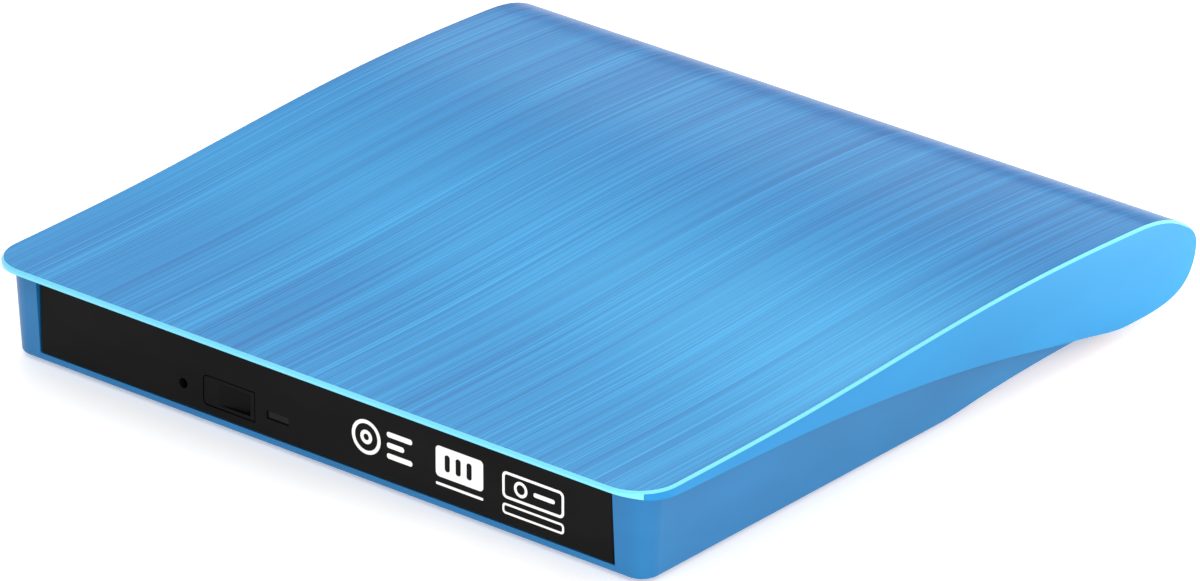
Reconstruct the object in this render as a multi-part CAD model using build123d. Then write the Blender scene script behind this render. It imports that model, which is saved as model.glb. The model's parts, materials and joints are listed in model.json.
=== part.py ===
from build123d import *
import math
import os

# An external optical drive: a slim tray drive inside a two-piece case.
# Millimetres. X runs across the front, seen from the front to the right,
# Y runs from the front to the rear, Z is up. The origin is under the middle
# of the case, on the surface that the feet stand on.

# ---- driving dimensions: the case -------------------------------------------
WIDTH = 148.2            # across the top cover
DEPTH = 150.5            # front lip to the back of the rear roll
FOOT = 0.8               # the base's flat underside above the table
COVER_WALL = 1.7         # thickness of the top cover
CORNER_R = 8.0           # plan radius of the cover's front corners
LIP = 0.95               # height of the cover's front edge
EDGE_BREAK = 0.45        # bright chamfer round the cover's top

BASE_WIDTH = 141.4       # across the base at its underside
BASE_SETBACK = 3.9       # the base's front foot line behind the lip
BASE_CORNER_R = 3.5
BASE_DRAFT = 3.2         # degrees, walls lean outwards going up
BASE_WALL = 1.7
BASE_FLOOR = 1.2
BASE_EDGE_R = 0.5        # rounding of the base's lower edge
BASE_TOP = 16.55         # front wall height above the underside

# Side outline of the case, as (distance behind the lip, height above the
# base's underside): over the top, round the rear roll and back along the seam.
TOP_LINE = [(0, 17.85), (40, 18.2), (78, 19.9), (108, 20.5), (132, 19.7),
            (145.3, 17.0), (DEPTH, 11.2)]
ROLL_LINE = [(DEPTH, 11.2), (148.0, 5.2), (140.5, 2.4), (131.0, 2.2)]
SEAM_LINE = [(131.0, 2.2), (120.3, 3.9), (112.5, 5.35), (99, 8.0), (82.7, 10.7),
             (62, 13.1), (37.7, 14.8), (11.6, 15.7), (3.0, 16.2)]
# Underside of the base behind its flat stretch.
RISE_LINE = [(78, 0.0), (94, 1.1), (108, 1.9), (131.8, 2.25)]

# ---- driving dimensions: the slim drive -------------------------------------
BEZEL_WIDTH = 128.0
BEZEL_FRONT = 3.6        # front face of the bezel behind the lip
BEZEL_Z = (2.4, 16.5)
BEZEL_PLATE = 1.6
BEZEL_DEEP = 3.4
DRIVE_DEPTH = 127.0      # bezel face to the rear of the drive
DRIVE_Z = 4.8            # underside of the drive
DRIVE_HIGH = 9.5
SHEET = 0.5              # drive shells
DISC_R = 60.0
TRAY_TRAVEL = 130.0

# ---- places worked out from them --------------------------------------------
FRONT = -DEPTH / 2
FACE = FRONT + BEZEL_FRONT             # bezel front face
TRAY_Y0 = FACE + BEZEL_DEEP            # where the tray starts, behind the bezel
DRIVE_Y0 = TRAY_Y0 + 0.65              # front edge of the shells
DRIVE_Y1 = FACE + DRIVE_DEPTH          # rear of the shells
FLOOR_TOP = DRIVE_Z + SHEET
DRIVE_TOP = DRIVE_Z + DRIVE_HIGH
COVER_IN = TOP_LINE[0][1] - COVER_WALL + FOOT   # underside of the roof, at the front

TRAY_COVER_Z = DRIVE_Z + 1.2           # thin cover under the tray
SKIRT_Z0 = TRAY_COVER_Z + 0.3
DECK_Z0 = SKIRT_Z0 + 3.0
DECK_Z1 = DECK_Z0 + 1.7
RECESS_Z = DECK_Z1 - 0.9
DECK_X = 61.9
SKIRT_X = 57.6
SKIRT_WALL = 2.0
TRAY_Y1 = 53.0
NOTCH = (36.0, 42.0)                   # rear right corner left free for the connector

SPINDLE_Y = -6.2
MECH_ANGLE = -50.0                     # direction in which the pickup travels
PICKUP_START = 24.0                    # lens radius at rest
PICKUP_TRAVEL = 28.0
LENS_END = PICKUP_START + PICKUP_TRAVEL
ROD_Z = SKIRT_Z0 + 1.4
ROD_R = 0.75
ROD_V = 13.0
SCREW_V = 16.8
SCREW_R = 0.85
RUN = 0.05                             # radial clearance of running fits
TURNTABLE_R = 12.8
HUB_R = 7.4
PAD_TOP = DECK_Z1 + 0.3

BUTTON_X = (-26.4, -15.0)
BUTTON_Z = (4.3, 9.6)
HOLE_X = -31.1
HOLE_Z = 6.6
LED_X = (-12.2, -7.2)
LED_Z = (5.75, 7.25)

SIDE_POST_X = 67.4                     # screw posts beside the drive
POST_STATIONS = (24.0, 96.0)
POST_FOOT = 3.8                        # top of the base's bosses, above its underside
FOOT_X = 58.0
FOOT_STATIONS = (16.0, 104.0)
FOOT_R = 4.5

BOARD_Z = (7.6, 8.6)                   # bridge board and the drive's connector board
SATA_X = (38.0, 56.0)
USB_X = 12.0
USB_SIZE = (8.94, 8.2, 3.16)


# ---- helpers ----------------------------------------------------------------
def block(x0, x1, y0, y1, z0, z1):
    """A box between two corners."""
    size = Box(x1 - x0, y1 - y0, z1 - z0)
    return Pos((x0 + x1) / 2, (y0 + y1) / 2, (z0 + z1) / 2) * size


def post(x, y, z0, z1, r):
    """An upright cylinder."""
    return Pos(x, y, (z0 + z1) / 2) * Cylinder(r, z1 - z0)


def along_y(x, z, y0, y1, r):
    """A cylinder along Y."""
    return Pos(x, (y0 + y1) / 2, z) * Rot(90, 0, 0) * Cylinder(r, y1 - y0)


def along_u(v, z, u0, u1, r):
    """A cylinder along the pickup's travel, in the mechanism's own frame."""
    return Pos((u0 + u1) / 2, v, z) * Rot(0, 90, 0) * Cylinder(r, u1 - u0)


def mech(shape):
    """Move a shape from the mechanism's frame (spindle at its origin) to the tray."""
    return Pos(0, SPINDLE_Y, 0) * Rot(0, 0, MECH_ANGLE) * shape


def side(points):
    """Outline stations (behind the lip, above the underside) as Y, Z points."""
    return [(FRONT + s, FOOT + h) for s, h in points]


def prism(face, half):
    """A face drawn in Y, Z, made solid from -half to +half across the case."""
    return extrude(Plane.YZ.offset(-half) * face, amount=2 * half)


def save(node, shape):
    os.makedirs("parts", exist_ok=True)
    solids = shape.solids()
    group = solids[0] if len(solids) == 1 else Compound(children=list(solids))
    export_step(group, f"parts/{node}.step")


# ---- the case ---------------------------------------------------------------
def roll_curves():
    """The outer outline from the lip over the top to the roll's lowest line."""
    over = Spline(*side(TOP_LINE), tangents=[(1, 0), (0, -1)])
    under = Spline(*side(ROLL_LINE), tangents=[(0, -1), (-1, 0)])
    return over, under


def plan_rounder(half, y0, y1, r):
    """A tall block whose two front corners are rounded."""
    tall = block(-half, half, y0, y1, -5, 30)
    fronts = [e for e in tall.edges().filter_by(Axis.Z) if e.center().Y < y0 + 0.01]
    return fillet(fronts, r)


def cover_outer():
    """The cover as if it were solid, with rounded corners and a bright edge."""
    over, under = roll_curves()
    seam = Spline(*side(SEAM_LINE), tangents=[(-1, 0.02), (-1, 0.1)])
    top_front, lip_low, seam_end = side([(0, TOP_LINE[0][1]), (0, TOP_LINE[0][1] - LIP), SEAM_LINE[-1]])
    face = make_face([over, under, seam, Line(seam_end, lip_low), Line(lip_low, top_front)])
    solid = prism(face, WIDTH / 2) & plan_rounder(WIDTH / 2, FRONT, DEPTH / 2 + 1, CORNER_R)
    roof = [f for f in solid.faces() if f.center().Z > FOOT + TOP_LINE[0][1] - 1
            and f.normal_at(f.center()).Z > 0.9]
    return chamfer(roof[0].edges().filter_by(lambda e: e.center().Z > FOOT + TOP_LINE[-1][1] + 1), EDGE_BREAK)


def inside(curve, steps):
    """Points a wall's thickness inside an outline that runs clockwise."""
    points = []
    for i in range(1, steps + 1):
        place, way = curve @ (i / steps), curve % (i / steps)
        points.append((place.X + way.Y * COVER_WALL, place.Y - way.X * COVER_WALL))
    return points


def cover_cavity():
    """The hollow of the cover: a wall's thickness inside, open below up to the roll."""
    over, under = roll_curves()
    start = (FRONT + COVER_WALL, side([TOP_LINE[0]])[0][1] - COVER_WALL)
    inner_over = Spline(start, *inside(over, 6), tangents=[(1, 0), (0, -1)])
    inner_under = Spline(inner_over @ 1, *inside(under, 4), tangents=[(0, -1), (-1, 0)])
    end = inner_under @ 1
    low = -20.0
    corners = [(end.X, end.Y), (end.X - COVER_WALL, end.Y), (end.X - COVER_WALL, low), (start[0], low), start]
    lines = [Line(a, b) for a, b in zip(corners, corners[1:])]
    return prism(make_face([inner_over, inner_under] + lines), WIDTH / 2 - COVER_WALL)


def post_places():
    return [(x, FRONT + s) for x in (-SIDE_POST_X, SIDE_POST_X) for s in POST_STATIONS]


def board_post_places():
    return [(-4.0, 61.0), (30.0, 61.0)]


def roof_at(y):
    """A height within the roof's thickness at a place from front to rear."""
    s = y - FRONT
    for (s0, z0), (s1, z1) in zip(TOP_LINE, TOP_LINE[1:]):
        if s0 <= s <= s1:
            return FOOT + z0 + (z1 - z0) * (s - s0) / (s1 - s0) - 0.5


def make_top_cover():
    outer = cover_outer()
    shell = outer - cover_cavity()
    for x, y in post_places():
        shell += post(x, y, FOOT + POST_FOOT, roof_at(y), 2.4)
        shell -= post(x, y, FOOT + POST_FOOT - 1, FOOT + POST_FOOT + 7, 0.85)
    for x, y in board_post_places():
        shell += post(x, y, BOARD_Z[1], roof_at(y), 2.0)
        shell -= post(x, y, BOARD_Z[1] - 1, BOARD_Z[1] + 5, 0.65)
    usb_w, _, usb_h = USB_SIZE
    window = block(USB_X - usb_w / 2 - 0.15, USB_X + usb_w / 2 + 0.15, 68, DEPTH / 2 + 1,
                   BOARD_Z[1] - 0.15, BOARD_Z[1] + usb_h + 0.15)
    window = fillet(window.edges().filter_by(Axis.Y), 1.5)
    return shell - window


def rise(lift):
    """Everything above the base's underside, raised by lift."""
    curve = Spline(*[(y, z + lift) for y, z in side(RISE_LINE)], tangents=[(1, 0), (1, 0)])
    y0, z0 = side([RISE_LINE[0]])[0]
    y1, z1 = side([RISE_LINE[-1]])[0]
    high = 60.0
    corners = [(y1, z1 + lift), (y1, high), (FRONT - 5, high), (FRONT - 5, z0 + lift), (y0, z0 + lift)]
    lines = [Line(a, b) for a, b in zip(corners, corners[1:])]
    return prism(make_face([curve] + lines), WIDTH)


def leaning_tub(inset, top):
    """The base's block: rounded front corners, walls that lean outwards."""
    half = BASE_WIDTH / 2 - inset
    y0, y1 = FRONT + BASE_SETBACK + inset, FRONT + 150
    plan = Pos(0, (y0 + y1) / 2) * Rectangle(2 * half, y1 - y0)
    fronts = [v for v in plan.vertices() if v.Y < 0]
    plan = fillet(fronts, max(BASE_CORNER_R - inset, 1))
    return extrude(Pos(0, 0, FOOT) * plan, amount=top, taper=-BASE_DRAFT)


def make_base_case(cover):
    tub = leaning_tub(0, BASE_TOP)
    lowest = [e for e in tub.edges() if e.center().Z < FOOT + 0.01 and e.center().Y < FRONT + 149]
    tub = fillet(lowest, BASE_EDGE_R) & rise(0)
    cavity = leaning_tub(BASE_WALL, BASE_TOP + 1) & rise(BASE_FLOOR)
    rear_end = FRONT + ROLL_LINE[-1][0] - COVER_WALL - 0.1
    shell = tub - cavity
    shell &= block(-WIDTH, WIDTH, FRONT, rear_end, 0, 40)
    for x, y in post_places():
        shell += post(x, y, FOOT + 0.4, FOOT + POST_FOOT, 3.1) & rise(0)
    for x, y in post_places():
        shell -= post(x, y, FOOT - 2, FOOT + POST_FOOT - 1.2, 2.1)
        shell -= post(x, y, FOOT, FOOT + POST_FOOT + 1, 1.1)
    for x in (-40, 40):
        shell += block(x - 1, x + 1, FRONT + 14, FRONT + 76, FOOT + 0.6, DRIVE_Z - 0.8)
    half = BEZEL_WIDTH / 2 + 0.4
    shell -= block(-half, half, FRONT, FRONT + 8, BEZEL_Z[0] - 0.2, 40)
    return shell - cover


def make_feet():
    feet = []
    for s in FOOT_STATIONS:
        for x in (-FOOT_X, FOOT_X):
            blank = post(x, FRONT + s, 0, 8, FOOT_R) - rise(0)
            low = [e for e in blank.edges() if e.center().Z < 0.01 and e.geom_type == GeomType.CIRCLE]
            feet.append(fillet(low, 0.3))
    return Compound(children=feet)


def make_case_screws():
    screws = []
    for x, y in post_places():
        head_top = FOOT + POST_FOOT - 1.2
        head = post(x, y, head_top - 1.0, head_top, 1.9)
        slot = block(x - 1.2, x + 1.2, y - 0.2, y + 0.2, head_top - 1.1, head_top - 0.5)
        cross = block(x - 0.2, x + 0.2, y - 1.2, y + 1.2, head_top - 1.1, head_top - 0.5)
        shank = post(x, y, head_top, head_top + 6.5, 0.8)
        screws.append(head + shank - slot - cross)
    return Compound(children=screws)


def make_foam_pads():
    pads = []
    for x in (-40, 40):
        pads.append(block(x - 4, x + 4, FRONT + 16, FRONT + 74, DRIVE_Z - 0.8, DRIVE_Z))
        pads.append(block(x - 5, x + 5, FRONT + 14, FRONT + 38, DRIVE_TOP, COVER_IN))
    return Compound(children=pads)


# ---- the bridge board in the roll -------------------------------------------
def make_usb_board():
    x1 = SATA_X[1] + 3
    board = block(-12, x1, DRIVE_Y1 + 1.2, 66.5, *BOARD_Z)
    board += block(USB_X - 8, USB_X + 8, 66, 70, *BOARD_Z)
    for x, y in board_post_places():
        board -= post(x, y, 0, 20, 0.9)
    return board


def make_board_screws():
    screws = []
    for x, y in board_post_places():
        screws.append(post(x, y, BOARD_Z[0] - 0.8, BOARD_Z[0], 1.5) + post(x, y, BOARD_Z[0], 12.6, 0.6))
    return Compound(children=screws)


def make_board_chips():
    z = BOARD_Z[1]
    chips = [block(10, 17, 58, 64.5, z, z + 0.9)]
    chips.append(block(20, 24, 59, 61, z, z + 1.1))
    chips += [block(-10 + 2 * i, -9.1 + 2 * i, 64, 65.6, z, z + 0.5) for i in range(2)]
    chips += [block(34, 35.6, 62.2 + 1.3 * i, 63 + 1.3 * i, z, z + 0.5) for i in range(3)]
    chips.append(post(-8.5, 59.5, z, z + 4, 1.8))
    return Compound(children=chips)


def usb_blank(shrink, y0, y1):
    wide, _, high = USB_SIZE
    zc = BOARD_Z[1] + high / 2
    blank = block(USB_X - wide / 2 + shrink, USB_X + wide / 2 - shrink, y0, y1,
                  zc - high / 2 + shrink, zc + high / 2 - shrink)
    return fillet(blank.edges().filter_by(Axis.Y), high / 2 - shrink - 0.05)


def make_usb_socket():
    y0, y1 = 66.2, 66.2 + USB_SIZE[1]
    return usb_blank(0, y0, y1) - usb_blank(0.3, y0 + 0.8, y1 + 1)


def make_usb_tongue():
    zc = BOARD_Z[1] + USB_SIZE[2] / 2
    root = usb_blank(0.35, 67.05, 68.0)
    return root + block(USB_X - 3.35, USB_X + 3.35, 67.5, 73.2, zc - 0.35, zc + 0.35)


def make_sata_plug():
    """The board's half of the drive connector, with its two blades."""
    x0, x1 = SATA_X
    z = BOARD_Z[1]
    body = block(x0, x1, 57.0, 62.0, z, z + 3.6)
    body -= block(x0 + 0.8, x1 - 0.8, 56.5, 60.5, z + 0.7, z + 2.9)
    body += block(x0 + 1.5, x0 + 7.5, 57.2, 61.0, z + 1.4, z + 2.2)
    return body + block(x0 + 9.0, x1 - 1.5, 57.2, 61.0, z + 1.4, z + 2.2)


def make_sata_receptacle():
    x0, x1 = SATA_X
    z = BOARD_Z[1]
    return block(x0, x1, 47.0, DRIVE_Y1 + 0.6, z, z + 3.6)


# ---- the drive's fixed parts ------------------------------------------------
def make_drive_top_shell():
    x = 63.5
    shell = block(-x, x, DRIVE_Y0, DRIVE_Y1, 7.5, DRIVE_TOP)
    shell -= block(-x + SHEET, x - SHEET, DRIVE_Y0 - 1, DRIVE_Y1 - SHEET, 0, DRIVE_TOP - SHEET)
    shell -= block(-x + SHEET, x - SHEET, DRIVE_Y1 - 2, DRIVE_Y1 + 1, 0, 9.2)
    shell -= block(SATA_X[0] - 0.4, SATA_X[1] + 0.4, DRIVE_Y1 - 2, DRIVE_Y1 + 1, 0, 12.4)
    # A round panel pressed down a little over the disc.
    shell -= post(0, SPINDLE_Y, DRIVE_TOP - 0.2, DRIVE_TOP + 1, 46)
    shell += post(0, SPINDLE_Y, DRIVE_TOP - SHEET - 0.1, DRIVE_TOP - SHEET, 45.5)
    return shell


def make_drive_bottom_shell():
    x = 62.9
    high = 9.0
    shell = block(-x, x, DRIVE_Y0, DRIVE_Y1, DRIVE_Z, high)
    shell -= block(-x + SHEET, x - SHEET, DRIVE_Y0 - 1, DRIVE_Y1 - SHEET, FLOOR_TOP, 40)
    shell -= block(SATA_X[0] - 0.4, SATA_X[1] + 0.4, DRIVE_Y1 - 2, DRIVE_Y1 + 1, BOARD_Z[1] - 0.4, 40)
    for px in (41, 53):
        shell += post(px, 45.2, FLOOR_TOP - 0.1, BOARD_Z[0], 1.4)
        shell -= post(px, 45.2, FLOOR_TOP + 0.3, 20, 0.65)
    return shell


def make_rail_guide(sign):
    guide = block(60.3, 62.3, DRIVE_Y0 + 1.5, 50, FLOOR_TOP, 8.9)
    guide -= block(60.0, 61.5, DRIVE_Y0, 51, 6.8, 8.2)
    return guide if sign > 0 else mirror(guide, about=Plane.YZ)


def make_rail(sign):
    """The half-travel rail: a strip with a rib on each side, and a stop at its rear."""
    y0, y1 = -64.0, 48.0
    rail = block(58.2, 60.0, y0, y1, 5.9, 8.9)
    rail += block(57.0, 61.2, y0 + 1, y1 - 1, 7.1, 7.9)
    rail = fillet(rail.edges().filter_by(Axis.Z).filter_by(lambda e: abs(e.length - 3) < 0.01), 0.6)
    return rail if sign > 0 else mirror(rail, about=Plane.YZ)


def make_connector_board():
    board = block(37, 57, 43.2, 53.6, *BOARD_Z)
    for x in (41, 53):
        board -= post(x, 45.2, 0, 20, 0.8)
    return board


def make_connector_screws():
    screws = []
    for x in (41, 53):
        screws.append(post(x, 45.2, BOARD_Z[1], BOARD_Z[1] + 0.7, 1.5)
                      + post(x, 45.2, FLOOR_TOP + 0.5, BOARD_Z[1], 0.6))
    return Compound(children=screws)


def make_ribbon_cable():
    """The flat cable under the tray: back along the floor, round a fold and forward."""
    x0, x1, thick = 40.0, 54.0, 0.1
    fold, floor_z, upper_z = -22.0, FLOOR_TOP + 0.05, FLOOR_TOP + 0.35
    flat = block(x0, x1, fold, 43.0, floor_z, floor_z + thick)
    upper = block(x0, x1, fold, 30.0, upper_z, upper_z + thick)
    bend = block(x0, x1, fold - thick, fold, floor_z, upper_z + thick)
    rise_up = block(x0, x1, 43.0, 43.1, floor_z, BOARD_Z[0] + 0.4)
    return flat + upper + bend + rise_up


def make_latch_pin():
    return post(-54.2, -40.0, FLOOR_TOP, 7.8, 0.9) + post(-54.2, -40.0, FLOOR_TOP, FLOOR_TOP + 0.3, 1.3)


def make_drive_screws():
    """Small screws that hold the two shells together at the sides."""
    screws = []
    for x in (-63.5, 63.5):
        for y in (-55.0, -5.0, 45.0):
            sign = 1 if x > 0 else -1
            head = Pos(x + sign * 0.2, y, 8.2) * Rot(0, 90, 0) * Cylinder(1.0, 0.4)
            screws.append(head)
    return Compound(children=screws)


# ---- the tray and what is fixed to it ---------------------------------------
def mech_cover_blank(grow, z0, z1):
    """Outline of the thin plate over the mechanism; grow gives its seat in the tray."""
    blank = block(-17.0 - grow, LENS_END + 5.6 + grow, -16.0 - grow, 16.0 + grow, z0, z1)
    return fillet(blank.edges().filter_by(Axis.Z), 5.0 + grow)


def make_tray():
    deck = block(-DECK_X, DECK_X, TRAY_Y0, TRAY_Y1, DECK_Z0, DECK_Z1)
    corners = [e for e in deck.edges().filter_by(Axis.Z) if e.center().Y > 0]
    deck = fillet(corners, 6)
    skirt = block(-SKIRT_X, SKIRT_X, TRAY_Y0, TRAY_Y1 - 1, SKIRT_Z0, DECK_Z0)
    inner_x = SKIRT_X - SKIRT_WALL
    skirt -= block(-inner_x, inner_x, TRAY_Y0 + 1.2, TRAY_Y1 - 2.2, 0, DECK_Z0)
    tray = deck + skirt
    # The disc's seat, the seat of a small disc, and the mechanism's aperture.
    tray -= post(0, SPINDLE_Y, RECESS_Z, 40, DISC_R + 0.4)
    tray -= post(0, SPINDLE_Y, RECESS_Z - 0.2, 40, 40.5)
    tray -= post(0, SPINDLE_Y, 0, 40, TURNTABLE_R + 1.2)
    tray -= mech(block(0, LENS_END + 8.2, -12.6, 12.6, 0, 40))
    tray -= mech(mech_cover_blank(0.1, RECESS_Z - 0.2, 40))
    # Grooves for the rails, the gap for the latch pin and the connector's corner.
    for sign in (-1, 1):
        x0, x1 = sorted((sign * 56.7, sign * 58.5))
        tray -= block(x0, x1, TRAY_Y0 + 2, TRAY_Y1 + 1, 6.8, 8.2)
    tray -= block(-inner_x, -52.6, 40, TRAY_Y1 + 1, 0, DECK_Z0)
    tray -= block(NOTCH[0], 70, NOTCH[1], TRAY_Y1 + 1, 0, 40)
    # Finger cut-outs at the front and rear edge of the disc's seat.
    tray -= post(0, TRAY_Y0 + 6, RECESS_Z, 40, 16)
    # Button stem, emergency pin and light pipe pass the front wall.
    button_x = sum(BUTTON_X) / 2
    tray -= block(button_x - 2, button_x + 2, TRAY_Y0 - 1, TRAY_Y0 + 1.3, 0, 8.6)
    tray -= block(HOLE_X - 1.4, HOLE_X + 1.4, TRAY_Y0 - 1, TRAY_Y0 + 1.3, 0, 8.2)
    tray -= block(LED_X[0] - 0.4, LED_X[1] + 0.4, TRAY_Y0 - 1, TRAY_Y0 + 1.3, 0, 8.2)
    for x, y in tray_screw_places():
        tray += post(x, y, SKIRT_Z0, DECK_Z0, 2.0) - post(x, y, 0, SKIRT_Z0 + 2.6, 0.75)
    return tray


def tray_screw_places():
    return [(-48.0, 15.0), (-30.0, 46.0), (30.0, 46.0), (-10.0, -40.0)]


def make_tray_cover():
    cover = block(-SKIRT_X + 0.6, SKIRT_X - 0.6, TRAY_Y0 + 1.4, TRAY_Y1 - 1.2, TRAY_COVER_Z, SKIRT_Z0)
    cover -= block(-SKIRT_X, -52.6, -45, 60, 0, 20)
    cover -= block(NOTCH[0] - 0.2, 70, NOTCH[1], 60, 0, 20)
    cover -= block(41.5, 52.5, 26, 29.5, 0, 20)
    for x, y in tray_screw_places():
        cover -= post(x, y, 0, 20, 0.9)
    for i in range(6):
        cover -= block(-46 + 4 * i, -44 + 4 * i, -20, -6, 0, 20)
    return cover


def make_tray_screws():
    return Compound(children=[
        post(x, y, TRAY_COVER_Z - 0.3, TRAY_COVER_Z, 1.6) + post(x, y, TRAY_COVER_Z, SKIRT_Z0 + 2.4, 0.7)
        for x, y in tray_screw_places()])


def make_bezel():
    half = BEZEL_WIDTH / 2
    bezel = block(-half, half, FACE, TRAY_Y0, *BEZEL_Z)
    bezel -= block(-half + 1.2, half - 1.2, FACE + BEZEL_PLATE, TRAY_Y0 + 1, BEZEL_Z[0] + 1.0, BEZEL_Z[1] - 1.2)
    face_edges = [e for e in bezel.edges() if abs(e.center().Y - FACE) < 0.01]
    bezel = chamfer(face_edges, 0.3)
    # A web behind the plate ties it to the tray's front edge.
    bezel += block(-half + 1, half - 1, FACE + BEZEL_PLATE - 0.1, TRAY_Y0, DECK_Z0, DECK_Z1)
    gap = 0.22
    window = block(BUTTON_X[0] - gap, BUTTON_X[1] + gap, FACE - 1, FACE + BEZEL_PLATE + 0.01,
                   BUTTON_Z[0] - gap, BUTTON_Z[1] + gap)
    left = [e for e in window.edges().filter_by(Axis.Y) if e.center().X < BUTTON_X[0]]
    bezel -= fillet(left, 1.0)
    bezel -= block(BUTTON_X[0] - 1.2, BUTTON_X[1] + 1.2, FACE + BEZEL_PLATE, TRAY_Y0 + 1,
                   BUTTON_Z[0] - 0.9, BUTTON_Z[1] + 0.9)
    bezel -= along_y(HOLE_X, HOLE_Z, FACE - 1, TRAY_Y0 + 1, 0.95)
    light = block(LED_X[0], LED_X[1], FACE - 1, TRAY_Y0 + 1, *LED_Z)
    return bezel - light


def make_eject_button():
    """The cap with its slanted finger dish, a flange behind the panel and a stem."""
    x0, x1 = BUTTON_X
    z0, z1 = BUTTON_Z
    cap = block(x0, x1, FACE + 0.05, FACE + BEZEL_PLATE + 0.35, z0, z1)
    left = [e for e in cap.edges().filter_by(Axis.Y) if e.center().X < x0 + 0.01]
    cap = fillet(left, 0.8)
    dish = Polyline((x0 + 3.5, FACE - 1), (x0 + 3.5, FACE + 0.05), (x1 - 0.9, FACE + 1.15),
                    (x1 - 0.9, FACE - 1), close=True)
    cap -= Pos(0, 0, z0 + 0.6) * extrude(make_face(dish), amount=z1 - z0 - 1.2)
    cap += block(x0 - 0.6, x1 + 0.6, FACE + BEZEL_PLATE + 0.35, FACE + BEZEL_PLATE + 0.85, z0 - 0.5, z1 + 0.5)
    return cap + along_y(sum(BUTTON_X) / 2, 7.2, FACE + BEZEL_PLATE + 0.8, -67.0, 0.8)


def make_light_pipe():
    x0, x1 = LED_X
    z0, z1 = LED_Z
    return block(x0 + 0.08, x1 - 0.08, FACE + 0.3, TRAY_Y0 + 1.2, z0 + 0.08, z1 - 0.08)


def make_front_board():
    return block(-28.3, -4.3, -65.6, -59.5, SKIRT_Z0 + 0.1, SKIRT_Z0 + 0.7)


def make_eject_switch():
    x = sum(BUTTON_X) / 2
    z = SKIRT_Z0 + 0.7
    body = block(x - 2.2, x + 2.2, -65.4, -61.8, z, z + 1.9)
    return body + along_y(x, 7.6, -66.3, -65.4, 0.5)


def make_led_chip():
    x = sum(LED_X) / 2
    z = SKIRT_Z0 + 0.7
    return block(x - 1.0, x + 1.0, -65.6, -64.6, z, z + 0.9)


def make_emergency_lever():
    x = HOLE_X
    lever = block(x - 1.0, x + 1.0, -66.6, -58.0, SKIRT_Z0 + 0.15, SKIRT_Z0 + 1.4)
    return lever + block(x - 1.8, x + 1.8, -60.0, -58.0, SKIRT_Z0 + 0.15, SKIRT_Z0 + 1.4)


def make_solenoid():
    body = block(-44, -34, -56, -44, SKIRT_Z0 + 0.1, SKIRT_Z0 + 2.7)
    return fillet(body.edges().filter_by(Axis.Y), 0.8)


def make_solenoid_core():
    return block(-41.5, -36.5, -44, -40.5, SKIRT_Z0 + 0.5, SKIRT_Z0 + 2.2)


LATCH_PIVOT = (-49.5, -58.0)
LATCH_SWING = 9.0


def make_latch_pivot():
    x, y = LATCH_PIVOT
    return post(x, y, SKIRT_Z0 + 0.3, DECK_Z0, 0.8) + post(x, y, SKIRT_Z0 + 2.4, DECK_Z0, 1.6)


def make_latch_hook():
    """The hook, drawn caught behind the pin, then turned back to its released rest."""
    z0, z1 = SKIRT_Z0 + 0.35, SKIRT_Z0 + 1.25
    hub = post(0, 0, z0, SKIRT_Z0 + 2.2, 2.0)
    arm = block(-1.2, 1.2, 0, 21.5, z0, z1)
    tip = block(-5.2, 0, 19.3, 21.5, z0, z1)
    tail = block(0, 6.0, -1.0, 1.0, z0, z1)
    hook = hub + arm + tip + tail - post(0, 0, 0, 20, 0.8 + RUN)
    x, y = LATCH_PIVOT
    return Pos(x, y, 0) * Rot(0, 0, -LATCH_SWING) * hook


def make_tray_board():
    board = block(-50, 54, 24, 40, SKIRT_Z0 + 0.8, SKIRT_Z0 + 1.6)
    for x, y in ((-46.0, 37.0), (0.0, 37.0), (50.0, 37.0)):
        board -= post(x, y, 0, 20, 0.8)
    return board


def make_tray_board_chips():
    z = SKIRT_Z0 + 0.8
    top = SKIRT_Z0 + 1.6
    chips = [block(-30, -18, 26, 38, top, top + 0.9), block(-8, 0, 28, 36, top, top + 0.8)]
    chips += [block(8 + 5 * i, 11 + 5 * i, 27, 31, top, top + 0.7) for i in range(4)]
    chips += [block(-44 + 2.2 * i, -43 + 2.2 * i, 27, 28.8, top, top + 0.5) for i in range(5)]
    chips.append(block(42.0, 52.0, 26.2, 29.2, TRAY_COVER_Z - 0.1, z))
    return Compound(children=chips)


# ---- the disc mechanism, drawn with the spindle at its origin ---------------
SLED_HALF = 7.0
FRAME_Z = (DECK_Z0 - 0.7, DECK_Z0 - 0.1)
ROD_U = (13.5, LENS_END + 9.0)


def damper_places():
    return [(-12.0, -13.0), (-12.0, 15.5), (8.0, -14.2)]


def make_traverse_frame():
    u0, u1 = -15.0, ROD_U[1]
    frame = block(u0, u1, -17.2, 20.0, *FRAME_Z)
    frame -= block(ROD_U[0], u1 - 1.5, -15.4, 18.6, 0, 20)
    for v in (-ROD_V, ROD_V):
        for end in ((ROD_U[0] - 2.2, ROD_U[0] + 1.2), (u1 - 1.5, u1)):
            frame += block(end[0], end[1], v - 1.6, v + 1.6, ROD_Z - 1.15, FRAME_Z[1])
        frame -= along_u(v, ROD_Z, ROD_U[0] - 1.0, u1 - 0.4, ROD_R + 0.02)
    frame += block(u1 - 1.5, u1, SCREW_V - 1.4, SCREW_V + 1.4, ROD_Z - 1.15, FRAME_Z[1])
    frame -= along_u(SCREW_V, ROD_Z, u1 - 3, u1 - 0.4, 0.5 + RUN)
    frame -= post(0, 0, 0, 20, 5.6)
    for u, v in damper_places():
        frame -= post(u, v, 0, 20, 1.2)
    return mech(frame)


def make_guide_rods():
    u0, u1 = ROD_U[0] - 0.9, ROD_U[1] - 0.5
    return mech(Compound(children=[along_u(v, ROD_Z, u0, u1, ROD_R) for v in (-ROD_V, ROD_V)]))


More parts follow.
